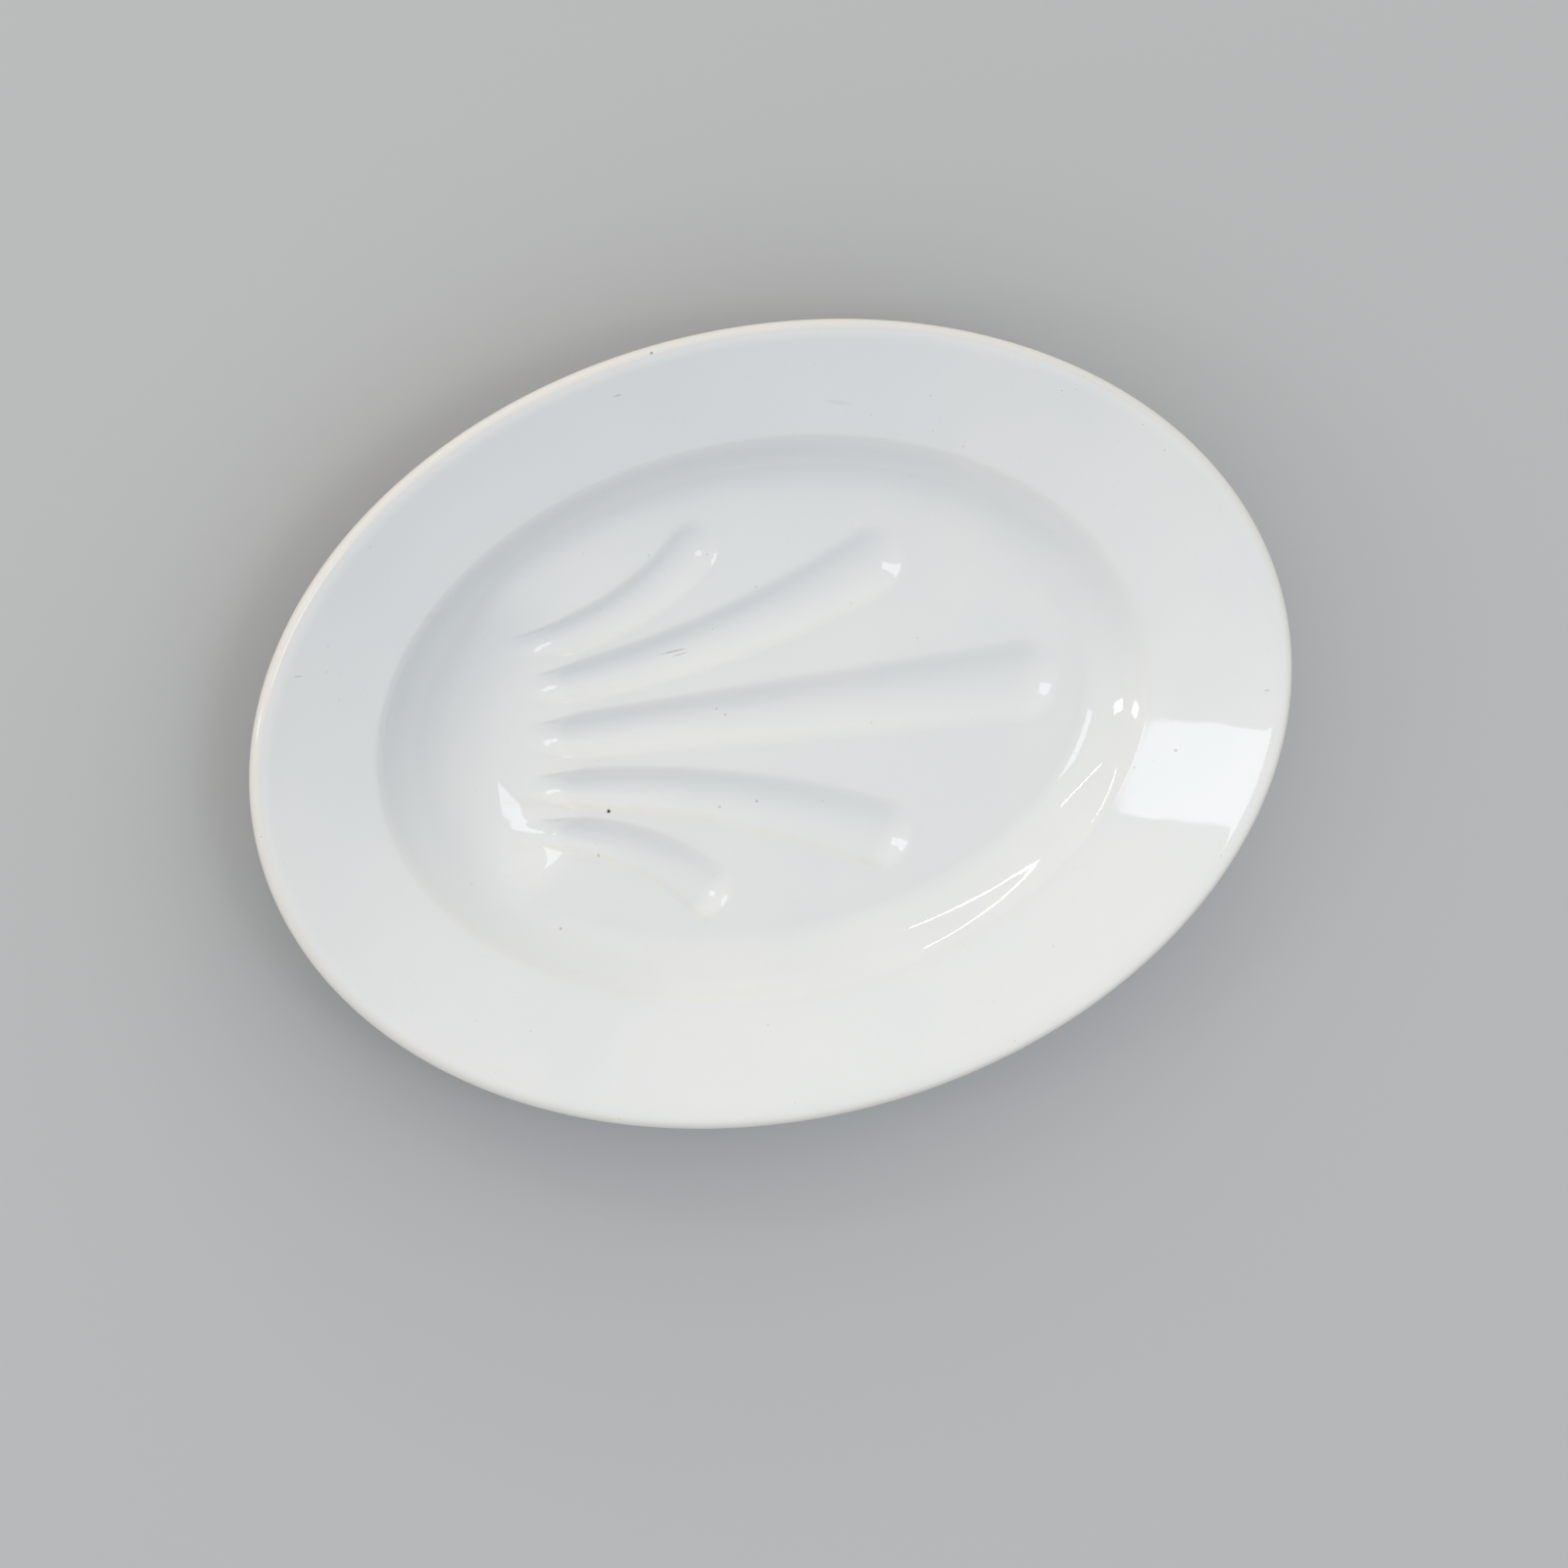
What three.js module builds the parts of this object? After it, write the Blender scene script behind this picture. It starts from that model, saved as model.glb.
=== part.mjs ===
import * as THREE from 'three';
import { mergeVertices } from 'three/addons/utils/BufferGeometryUtils.js';

// Oval meat dish with a moulded drainage tree and a gravy well, in millimetres.
// It lies flat on its foot: X runs from the gravy well to the tips of the tree, Y across, Z up.
// The dish is one fired and glazed piece, so it is one closed body. Its upper face is a height over
// the oval, built up as a potter's model is: brim, side wall, floor, well and five channels, each
// blended softly into the next. Its under face is the same form, one wall thickness further out.

// Overall size
const LENGTH = 500;
const WIDTH = 352;
const HEIGHT = 62.5;

// Brim: a broad, slightly dished border that falls inward, with a round lip
const BRIM_AT_ENDS = 66;
const BRIM_AT_SIDES = 54.5;
const BRIM_FALL = 21;
const BRIM_DISHING = 0.9;
const BRIM_THICKNESS = 6;

// Side wall: a hollow curve, steepest at the brim, that eases to level where it meets the floor
const WALL_STEEPNESS = 1.5;
const SHOULDER_BLEND = 2.2;

// Floor: the carving surface, which falls gently towards the well
const FLOOR_DEPTH = 39.5;
const FLOOR_FALL = 0.012;
const BODY_THICKNESS = 6.5;

// Gravy well: a sloping front across the floor, cut back at each corner, and a bed dished crossways
const WELL_DEPTH = 14;
const WELL_STEEPNESS = 0.56;
const WELL_FRONT = 90;
const WELL_CORNER = 47;
const WELL_CORNER_TURN = THREE.MathUtils.degToRad(53);
const WELL_CORNER_BLEND = 12;
const WELL_BED_HALF_WIDTH = 70;
const WELL_BED_BLEND = 6.6;
const WELL_EDGE_BLEND = 2.8;

// Drainage tree: hollow channels that start inside the well and widen to round, shallower tips.
// Flatness is the power of their cross curve, where 2 is a parabola, and the edge's rounding is a
// share of the depth.
const CHANNEL_DEPTH_AT_WELL = 4.7;
const CHANNEL_DEPTH_AT_TIP = 3.6;
const CHANNEL_FLATNESS = 2.1;
const CHANNEL_EDGE_SHARE = 0.5;
const RELIEF_BLEND = 2.6;
const CHANNEL_STEPS = 24;
const TRUNK = {
  path: [[-118, 0], [7, 0], [132, 0]],
  halfWidthAtWell: 7.8,
  halfWidthAtTip: 16.4,
};
const LONG_BRANCH = {
  path: [[-117, 21], [-22, 26], [59, 61.5]],
  halfWidthAtWell: 6.6,
  halfWidthAtTip: 14.2,
};
const SHORT_BRANCH = {
  path: [[-116, 39.5], [-59, 44.5], [-27.5, 75.2]],
  halfWidthAtWell: 6.2,
  halfWidthAtTip: 11.2,
};

// Foot ring under the side wall, which is deeper where the floor above it is higher
const FOOT_SETBACK = 18;
const FOOT_WIDTH = 6;
const FOOT_DRAFT = 4;

// Fineness of the faceted surface: points round the oval, rings, and triangles in each sheet. Each
// floor ring is a share of the last wall ring, and has half the points of the ring outside it.
const SECTORS = 80;
const BRIM_RINGS = 5;
const BRIM_RING_SHARES = { outer: 0.14, inner: 0.92 };
const WALL_RINGS = 9;
const WALL_RING_INSETS = { first: -1.5, last: 26 };
const UNDER_WALL_RINGS = 4;
const UNDER_RINGS = 3;
const UNDER_RING_LAST_INSET = 40;
const FLOOR_RING_SHARES = [0.8, 0.55, 0.3];
const UPPER_TRIANGLES = 7000;
const UNDER_TRIANGLES = 1500;

const RIM_A = LENGTH / 2;
const RIM_B = WIDTH / 2;
const WELL_A = RIM_A - BRIM_AT_ENDS;
const WELL_B = RIM_B - BRIM_AT_SIDES;
const LIP_RADIUS = BRIM_THICKNESS / 2;
const BRIM_TILT = Math.atan(BRIM_FALL / BRIM_AT_ENDS);
const LIP_INSET = LIP_RADIUS * (1 + Math.sin(BRIM_TILT));
const LIP_DROP = LIP_RADIUS * (1 - Math.cos(BRIM_TILT));

// Soft versions of min and max, which round the meeting of two surfaces over a blend height
function softMin(a, b, blend) {
  const overlap = Math.max(blend - Math.abs(a - b), 0);
  return Math.min(a, b) - (overlap * overlap) / (4 * blend);
}

function softMax(a, b, blend) {
  return -softMin(-a, -b, blend);
}

// The deeper of two hollows, blended only where both are hollow, so that the floor stays level
function deeper(a, b, blend) {
  const width = Math.min(blend, 2 * Math.min(a, b));
  return width > 0 ? softMax(a, b, width) : Math.max(a, b);
}

// Distance from a point to an oval's line, positive inside, exact on the oval and on its axes
function insideOval(x, y, a, b) {
  const ratio = Math.hypot(x / a, y / b);
  const steep = Math.max(Math.hypot(x / (a * a), y / (b * b)), 1e-9);
  return ((1 - ratio) * Math.max(ratio, 1e-6)) / steep;
}

// The channels: each centre line is a quadratic curve, and each branch has a mirrored twin
function channelPoints(channel, side) {
  const [start, bend, end] = channel.path.map(([x, y]) => new THREE.Vector2(x, y * side));
  return new THREE.QuadraticBezierCurve(start, bend, end).getPoints(CHANNEL_STEPS);
}

const channels = [
  { ...TRUNK, points: channelPoints(TRUNK, 1) },
  ...[LONG_BRANCH, SHORT_BRANCH].flatMap((branch) => [
    { ...branch, points: channelPoints(branch, 1) },
    { ...branch, points: channelPoints(branch, -1) },
  ]),
];

// Nearest place on a channel's centre line: how far away it is, and how far along towards the tip
function nearestOnChannel(x, y, points) {
  let best = { distance: Infinity, along: 0 };
  for (let i = 0; i + 1 < points.length; i += 1) {
    const start = points[i];
    const spanX = points[i + 1].x - start.x;
    const spanY = points[i + 1].y - start.y;
    const reach = ((x - start.x) * spanX + (y - start.y) * spanY) / (spanX * spanX + spanY * spanY);
    const part = THREE.MathUtils.clamp(reach, 0, 1);
    const distance = Math.hypot(x - start.x - part * spanX, y - start.y - part * spanY);
    if (distance < best.distance) {
      best = { distance, along: (i + part) / (points.length - 1) };
    }
  }
  return best;
}

// How far a channel's bed lies below the floor here; spread is the outward shift of its walls
function channelDepth(x, y, channel, spread) {
  const { distance, along } = nearestOnChannel(x, y, channel.points);
  const { halfWidthAtWell, halfWidthAtTip } = channel;
  const halfWidth = THREE.MathUtils.lerp(halfWidthAtWell, halfWidthAtTip, along) + spread;
  const depth = THREE.MathUtils.lerp(CHANNEL_DEPTH_AT_WELL, CHANNEL_DEPTH_AT_TIP, along);
  const trough = depth * (1 - (distance / halfWidth) ** CHANNEL_FLATNESS);
  return softMax(trough, 0, CHANNEL_EDGE_SHARE * depth);
}

// How far the well's bed lies below the floor here
function wellDepth(x, y, spread) {
  const front = -WELL_FRONT - x;
  const across = WELL_CORNER - Math.abs(y);
  const corner = front * Math.cos(WELL_CORNER_TURN) + across * Math.sin(WELL_CORNER_TURN);
  const inside = softMin(front, corner, WELL_CORNER_BLEND) + spread;
  const bed = WELL_DEPTH * (1 - (y / WELL_BED_HALF_WIDTH) ** 2);
  const hollow = softMin(WELL_STEEPNESS * inside, bed, WELL_BED_BLEND);
  return softMax(hollow, 0, WELL_EDGE_BLEND);
}

function floorHeight(x, y, spread) {
  const relief = channels.reduce(
    (deepest, channel) => deeper(deepest, channelDepth(x, y, channel, spread), RELIEF_BLEND),
    wellDepth(x, y, spread),
  );
  return HEIGHT - FLOOR_DEPTH + FLOOR_FALL * x - relief;
}

function brimHeight(outer, inner) {
  const share = (outer - LIP_INSET) / (outer - inner - LIP_INSET);
  const dishing = 4 * BRIM_DISHING * share * (1 - share);
  return HEIGHT - LIP_DROP - (BRIM_FALL - LIP_DROP) * share - dishing;
}

// Height of a face of the dish at (x, y). skin is 0 for the upper face, and the wall's thickness,
// square to the surface, for the under face. The side wall is a parabola that leaves the brim's edge
// at the wall's steepness and meets the floor level, however deep the floor lies there.
function faceHeight(x, y, skin) {
  const outer = insideOval(x, y, RIM_A, RIM_B);
  const inner = insideOval(x, y, WELL_A, WELL_B);
  const brimSkin = skin > 0 ? BRIM_THICKNESS / Math.cos(BRIM_TILT) : 0;
  const brim = brimHeight(outer, Math.min(inner, SHOULDER_BLEND)) - brimSkin;
  const floor = floorHeight(x, y, skin * Math.tan(Math.PI / 8));
  const depth = HEIGHT - BRIM_FALL - floor;
  const share = Math.max(1 - (WALL_STEEPNESS * inner) / (2 * depth), 0);
  const wall = floor + depth * share * share - skin * Math.hypot(1, WALL_STEEPNESS * share);
  return softMin(brim, wall, SHOULDER_BLEND + skin);
}

function upperHeight(x, y) {
  return faceHeight(x, y, 0);
}

function underHeight(x, y) {
  return faceHeight(x, y, BODY_THICKNESS);
}

// A ring of points on the oval with the given half length and half width
function ovalRing(a, b, heightAt, count = SECTORS) {
  return Array.from({ length: count }, (_, i) => {
    const angle = (2 * Math.PI * i) / count;
    const x = a * Math.cos(angle);
    const y = b * Math.sin(angle);
    return new THREE.Vector3(x, y, heightAt(x, y));
  });
}

// Ring on the brim, share 0 at the outline and 1 at the top of the side wall
function brimRing(share, heightAt) {
  return ovalRing(RIM_A - share * BRIM_AT_ENDS, RIM_B - share * BRIM_AT_SIDES, heightAt);
}

// Ring inside the brim, a given distance in from the top of the side wall
function innerRing(inset, heightAt, count) {
  return ovalRing(WELL_A - inset, WELL_B - inset, heightAt, count);
}

// Triangles between an outer ring and an inner one, of which the inner may have half the points
function strip(outer, inner) {
  const triangles = [];
  const halved = inner.length < outer.length;
  outer.forEach((point, i) => {
    const next = outer[(i + 1) % outer.length];
    const from = inner[(halved ? Math.floor((i + 1) / 2) : i) % inner.length];
    const to = inner[(halved ? Math.floor((i + 2) / 2) : i + 1) % inner.length];
    triangles.push([point, next, from]);
    if (from !== to) {
      triangles.push([next, to, from]);
    }
  });
  return triangles;
}

function strips(rings) {
  return rings.slice(1).flatMap((ring, i) => strip(rings[i], ring));
}

// Closes the innermost ring with triangles to its middle
function cap(ring, heightAt) {
  const middle = new THREE.Vector3(0, 0, heightAt(0, 0));
  return ring.map((point, i) => [point, ring[(i + 1) % ring.length], middle]);
}

// Cuts a sheet's worst triangles finer until it has the wanted number. A cut goes through the middle
// of a longest side, and both triangles on that side are cut, so no gap opens; the sheet's outer edge
// is never cut. How bad a triangle is, is how far the true face leaves it at its middle and its sides.
function refine(triangles, heightAt, wanted) {
  const numbers = new Map();
  const numberOf = (point) => {
    if (!numbers.has(point)) {
      numbers.set(point, numbers.size);
    }
    return numbers.get(point);
  };
  const sideKey = (a, b) => {
    const [low, high] = [numberOf(a), numberOf(b)].sort((m, n) => m - n);
    return `${low} ${high}`;
  };
  const beside = new Map();
  const cells = new Set();

  const error = ([a, b, c]) => {
    const middle = a.clone().add(b).add(c).divideScalar(3);
    const probes = [[a, b], [b, c], [c, a]].map(([p, q]) => p.clone().lerp(q, 0.5));
    const off = [middle, ...probes].map((probe) => Math.abs(heightAt(probe.x, probe.y) - probe.z));
    const normal = b.clone().sub(a).cross(c.clone().sub(a)).normalize();
    return Math.max(...off) * Math.abs(normal.z);
  };
  const addCell = (corners) => {
    const lengths = corners.map((point, i) => point.distanceTo(corners[(i + 1) % 3]));
    const longest = lengths.indexOf(Math.max(...lengths));
    const cell = { corners, longest, error: error(corners), stuck: false };
    cells.add(cell);
    corners.forEach((point, i) => {
      const key = sideKey(point, corners[(i + 1) % 3]);
      beside.set(key, [...(beside.get(key) ?? []), cell]);
    });
  };
  const dropCell = (cell) => {
    cells.delete(cell);
    cell.corners.forEach((point, i) => {
      const key = sideKey(point, cell.corners[(i + 1) % 3]);
      beside.set(key, beside.get(key).filter((other) => other !== cell));
    });
  };
  const acrossLongest = (cell) => {
    const { corners, longest } = cell;
    const key = sideKey(corners[longest], corners[(longest + 1) % 3]);
    return beside.get(key).find((other) => other !== cell);
  };
  const cutCell = (cell, start, middle) => {
    const turn = cell.corners.indexOf(start);
    const [first, second, third] = [0, 1, 2].map((i) => cell.corners[(turn + i) % 3]);
    dropCell(cell);
    addCell([first, middle, third]);
    addCell([middle, second, third]);
  };
  const sameSide = (cell, other) => {
    const [a, b] = [cell, other].map(({ corners, longest }) => (
      sideKey(corners[longest], corners[(longest + 1) % 3])
    ));
    return a === b;
  };

  triangles.forEach(addCell);
  while (cells.size < wanted) {
    let worst = null;
    cells.forEach((cell) => {
      if (!cell.stuck && (worst === null || cell.error > worst.error)) {
        worst = cell;
      }
    });
    if (worst === null) {
      break;
    }
    let cell = worst;
    let twin = acrossLongest(cell);
    while (twin && !sameSide(cell, twin)) {
      cell = twin;
      twin = acrossLongest(cell);
    }
    if (!twin) {
      worst.stuck = true;
    } else {
      const start = cell.corners[cell.longest];
      const end = cell.corners[(cell.longest + 1) % 3];
      const middle = start.clone().lerp(end, 0.5);
      middle.z = heightAt(middle.x, middle.y);
      cutCell(cell, start, middle);
      cutCell(twin, end, middle);
    }
  }
  return [...cells].map(({ corners }) => corners);
}

// Rings from a sheet's outer edge to its middle, first evenly spaced down the side wall, then
// thinning out across the floor
function sheet(edge, insets, heightAt, wanted) {
  const rings = [edge, ...insets.map((inset) => innerRing(inset, heightAt))];
  const reach = insets[insets.length - 1];
  FLOOR_RING_SHARES.forEach((share, i) => {
    const count = SECTORS / 2 ** (i + 1);
    rings.push(ovalRing((WELL_A - reach) * share, (WELL_B - reach) * share, heightAt, count));
  });
  const start = [...strips(rings), ...cap(rings[rings.length - 1], heightAt)];
  return refine(start, heightAt, wanted);
}

function evenly(from, to, count) {
  return Array.from({ length: count }, (_, i) => from + ((to - from) * i) / (count - 1));
}

function flipped(triangles) {
  return triangles.map(([a, b, c]) => [a, c, b]);
}

// The round lip, from the top of the brim over the rim's outer edge to the under side of the brim
function lipRings() {
  const quarter = Math.PI / 2;
  const start = quarter + BRIM_TILT;
  const end = -quarter + BRIM_TILT;
  return [start, quarter, quarter / 2, 0, -quarter / 2, end].map((angle) => {
    const inset = LIP_RADIUS * (1 - Math.cos(angle));
    const height = HEIGHT - LIP_RADIUS * (1 - Math.sin(angle));
    return ovalRing(RIM_A - inset, RIM_B - inset, () => height);
  });
}

function dishTriangles() {
  const brimShares = evenly(BRIM_RING_SHARES.inner, BRIM_RING_SHARES.outer, BRIM_RINGS);
  const upperBrim = brimShares.map((share) => brimRing(share, upperHeight));
  const upperInsets = evenly(WALL_RING_INSETS.first, WALL_RING_INSETS.last, WALL_RINGS);
  const upperSheet = sheet(upperBrim[0], upperInsets, upperHeight, UPPER_TRIANGLES);

  const underBrim = brimShares.toReversed().map((share) => brimRing(share, underHeight));
  const footOutside = FOOT_SETBACK - FOOT_DRAFT;
  const underWall = evenly(0, footOutside, UNDER_WALL_RINGS).map((inset) => innerRing(inset, underHeight));
  const footFace = [0, FOOT_WIDTH].map((width) => innerRing(FOOT_SETBACK + width, () => 0));
  const footInside = innerRing(FOOT_SETBACK + FOOT_WIDTH + FOOT_DRAFT, underHeight);
  const sides = strips([
    ...upperBrim, ...lipRings(), ...underBrim, ...underWall, ...footFace, footInside,
  ]);

  const firstUnderInset = FOOT_SETBACK + FOOT_WIDTH + 2 * FOOT_DRAFT;
  const underInsets = evenly(firstUnderInset, UNDER_RING_LAST_INSET, UNDER_RINGS);
  const underSheet = sheet(footInside, underInsets, underHeight, UNDER_TRIANGLES);
  return [...upperSheet, ...flipped(sides), ...flipped(underSheet)];
}

function closedGeometry(triangles) {
  const corners = triangles.flat().flatMap((point) => point.toArray());
  const loose = new THREE.BufferGeometry();
  loose.setAttribute('position', new THREE.Float32BufferAttribute(corners, 3));
  const geometry = mergeVertices(loose, 1e-4);
  geometry.computeVertexNormals();
  return geometry;
}

const glazedEarthenware = new THREE.MeshStandardMaterial({
  color: 0xdfe2e5,
  roughness: 0.12,
  metalness: 0,
});

const platter = new THREE.Mesh(closedGeometry(dishTriangles()), glazedEarthenware);
platter.name = 'platter';

const meatPlatter = new THREE.Group();
meatPlatter.add(platter);

export default meatPlatter;
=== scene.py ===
"""Oval meat dish of glazed white earthenware, with a moulded drainage tree and a gravy well.

X runs from the gravy well to the tips of the tree, Y across, Z up, in metres. The dish is one fired
piece. Its faces are a height over the oval: brim, side wall, floor, well and five channels, each
blended softly into the next, and the under face is the same form one wall thickness further out.
"""

import math
from functools import partial

import bmesh
import bpy
import numpy as np
from mathutils import Matrix, Vector


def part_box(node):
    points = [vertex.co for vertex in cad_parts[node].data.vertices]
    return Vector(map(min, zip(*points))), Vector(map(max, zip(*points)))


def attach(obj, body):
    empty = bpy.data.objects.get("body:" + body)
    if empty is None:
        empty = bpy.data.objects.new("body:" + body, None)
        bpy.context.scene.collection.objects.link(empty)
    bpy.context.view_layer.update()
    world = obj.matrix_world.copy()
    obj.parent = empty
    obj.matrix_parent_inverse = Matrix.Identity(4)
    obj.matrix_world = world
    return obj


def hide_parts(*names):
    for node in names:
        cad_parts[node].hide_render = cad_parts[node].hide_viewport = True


bl_info = {
    "name": "Oval Meat Dish",
    "version": (1, 0, 0),
    "blender": (4, 5, 0),
    "location": "View3D > Sidebar > Meat Dish",
    "description": "Glazed earthenware meat dish with a drainage tree and a gravy well",
    "category": "Object",
}

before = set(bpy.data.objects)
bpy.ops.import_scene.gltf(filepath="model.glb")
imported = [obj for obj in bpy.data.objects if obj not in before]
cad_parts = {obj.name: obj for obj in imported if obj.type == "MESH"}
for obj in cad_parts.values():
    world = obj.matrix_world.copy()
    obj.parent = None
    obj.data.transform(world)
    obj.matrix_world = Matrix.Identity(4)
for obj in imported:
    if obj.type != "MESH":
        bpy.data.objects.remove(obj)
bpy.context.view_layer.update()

MM = 0.001

# Half length, half width and height of the dish
RIM_A, RIM_B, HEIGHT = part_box("platter")[1]


def linear(hex_colour):
    """An sRGB hex colour as linear red, green and blue."""
    channels = [int(hex_colour[i : i + 2], 16) / 255 for i in (1, 3, 5)]
    return [c / 12.92 if c <= 0.04045 else ((c + 0.055) / 1.055) ** 2.4 for c in channels]


def length(name, description, default):
    """A length property, in metres."""
    return bpy.props.FloatProperty(
        name=name, description=description, default=default, precision=5, unit="LENGTH"
    )


def colour(name, description, default):
    """A colour property, from an sRGB hex value."""
    return bpy.props.FloatVectorProperty(
        name=name, description=description, default=linear(default), subtype="COLOR", min=0, max=1
    )


class DishForm(bpy.types.PropertyGroup):
    """Sizes of the fired dish."""

    brim_at_ends: length("Brim at ends", "Width of the brim on the long axis", 66 * MM)
    brim_at_sides: length("Brim at sides", "Width of the brim on the short axis", 54.5 * MM)
    brim_fall: length("Brim fall", "How far the brim falls from lip to side wall", 21 * MM)
    brim_dishing: length("Brim dishing", "How far the brim sags below a straight line", 0.9 * MM)
    brim_thickness: length("Brim thickness", "Thickness of the brim and its round lip", 6 * MM)
    wall_steepness: bpy.props.FloatProperty(
        name="Wall steepness", description="Rise over run at the top of the side wall", default=1.5
    )
    shoulder_blend: length("Shoulder blend", "Rounding from brim to side wall", 4.4 * MM)
    floor_depth: length("Floor depth", "Depth of the floor below the rim", 39.5 * MM)
    floor_fall: bpy.props.FloatProperty(
        name="Floor fall", description="Slope of the floor towards the well", default=0.012
    )
    body_thickness: length("Body thickness", "Thickness of floor and side wall", 6.5 * MM)
    well_depth: length("Well depth", "Depth of the gravy well below the floor", 14 * MM)
    well_steepness: bpy.props.FloatProperty(
        name="Well steepness", description="Rise over run of the well's front", default=0.56
    )
    channel_depth_at_well: length("Channel depth at well", "Depth of a channel's open end", 4.7 * MM)
    channel_depth_at_tip: length("Channel depth at tip", "Depth of a channel's round tip", 3.6 * MM)
    foot_setback: length("Foot setback", "Distance from the wall's top line in to the foot", 18 * MM)
    foot_width: length("Foot width", "Width of the foot's flat face", 6 * MM)
    foot_draft: length("Foot draft", "How far the foot's sides splay out to the dish", 4 * MM)


class DishGlaze(bpy.types.PropertyGroup):
    """Colours of the fired dish."""

    body: colour("Glazed body", "White body under clear glaze", "#e2e3e3")
    pooled: colour("Pooled glaze", "Where the glaze gathers in a hollow", "#d3dadd")
    # Also painted shade on the round lip: darker than the body there, so that the lip looks less lit
    thin: colour("Thin glaze", "Where the glaze runs thin over an edge", "#d8d3ca")
    grease: colour("Grease stain", "Old grease along the edge of a channel", "#d6cdb4")
    iron: colour("Iron speck", "Iron burnt out of the clay", "#3a3125")
    scratch: colour("Scratch", "Metal rubbed into the glaze by cutlery", "#8d9194")
    bare_clay: colour("Bare clay", "Fired clay of the foot, wiped free of glaze", "#cbbda4")
    clay_grain: colour("Clay grain", "Darker grains in the bare clay", "#a39479")


class StudioLight(bpy.types.PropertyGroup):
    """Colours of the floor and of the light from all round."""

    paper: colour("Paper", "The floor", "#b9babb")
    backdrop: colour("Backdrop", "Seen past the floor and mirrored in the glaze", "#b9babb")
    bright_side: colour("Bright side", "Light from the side beyond the well", "#fef9f4")
    dim_side: colour("Dim side", "Light from the opposite side", "#98a2aa")


# The gravy well from above: a straight front edge with slanted corners. Then how softly its faces
# meet, and how far to the sides its dished bed would come up level with the floor.
WELL_FRONT = 90 * MM
WELL_CORNER = 47 * MM
WELL_CORNER_TURN = math.radians(53)
WELL_CORNER_BLEND = 12 * MM
WELL_EDGE_BLEND = 5 * MM
WELL_BED_BLEND = 6.6 * MM
WELL_BED_HALF_WIDTH = 70 * MM

# How softly the channels and the well run into each other
RELIEF_BLEND = 5 * MM

# A hollow's wall slopes by about 45 degrees, so under the dish it stands out by this share of the skin
WALL_SPREAD = math.tan(math.radians(45) / 2)

# Over this width the brim's upper face turns towards level, down to this tilt at the round lip
EDGE_WIDTH = 6.5 * MM
EDGE_TILT = math.radians(6)

# A channel's centre line is cut into this many steps. Its bed is flatter than a parabola, and its edge
# is rounded over this share of its depth.
CHANNEL_STEPS = 24
CHANNEL_FLATNESS = 2.1
CHANNEL_EDGE_SHARE = 0.5

# Each centre line is a quadratic curve, given with the half widths at the well and the tip, in mm
TRUNK = ([(-118, 0), (7, 0), (132, 0)], 7.8, 16.4)
LONG_BRANCH = ([(-117, 21), (-22, 26), (59, 61.5)], 6.6, 14.2)
SHORT_BRANCH = ([(-116, 39.5), (-59, 44.5), (-27.5, 75.2)], 6.2, 11.2)

# A hollow is judged against this many points of the face around it, at this reach
HOLLOW_POINTS = 8
HOLLOW_REACH = 5 * MM

# Half width of the grease stain beside a channel
GREASE_HALF_WIDTH = 1.6 * MM


def soft_min(a, b, blend):
    """The lower of two heights, rounded where they cross."""
    overlap = np.maximum(blend - np.abs(a - b), 0)
    return np.minimum(a, b) - overlap**2 / (4 * blend)


def soft_max(a, b, blend):
    """The higher of two heights, rounded where they cross."""
    return -soft_min(-a, -b, blend)


def deeper(a, b, blend):
    """The deeper of two hollows, blended only where both are hollow, so that the floor stays level."""
    width = np.minimum(blend, 2 * np.minimum(a, b))
    both = width > 0
    return np.where(both, soft_max(a, b, np.where(both, width, blend)), np.maximum(a, b))


def fade(value, full, none):
    """1 at or past full, 0 at or past none, and straight between them."""
    return np.clip((none - value) / (none - full), 0, 1)


def mix(a, b, share):
    """A share of the way from a to b."""
    return a + (b - a) * share


def evenly(start, stop, count):
    return list(np.linspace(start, stop, count))


def inside_oval(x, y, a, b):
    """Distance to an oval's line, positive inside, exact on the oval and on its axes.

    The two small numbers keep the oval's middle from dividing by nothing.
    """
    ratio = np.hypot(x / a, y / b)
    steep = np.maximum(np.hypot(x / a**2, y / b**2), 1e-9)
    return (1 - ratio) * np.maximum(ratio, 1e-6) / steep


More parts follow.
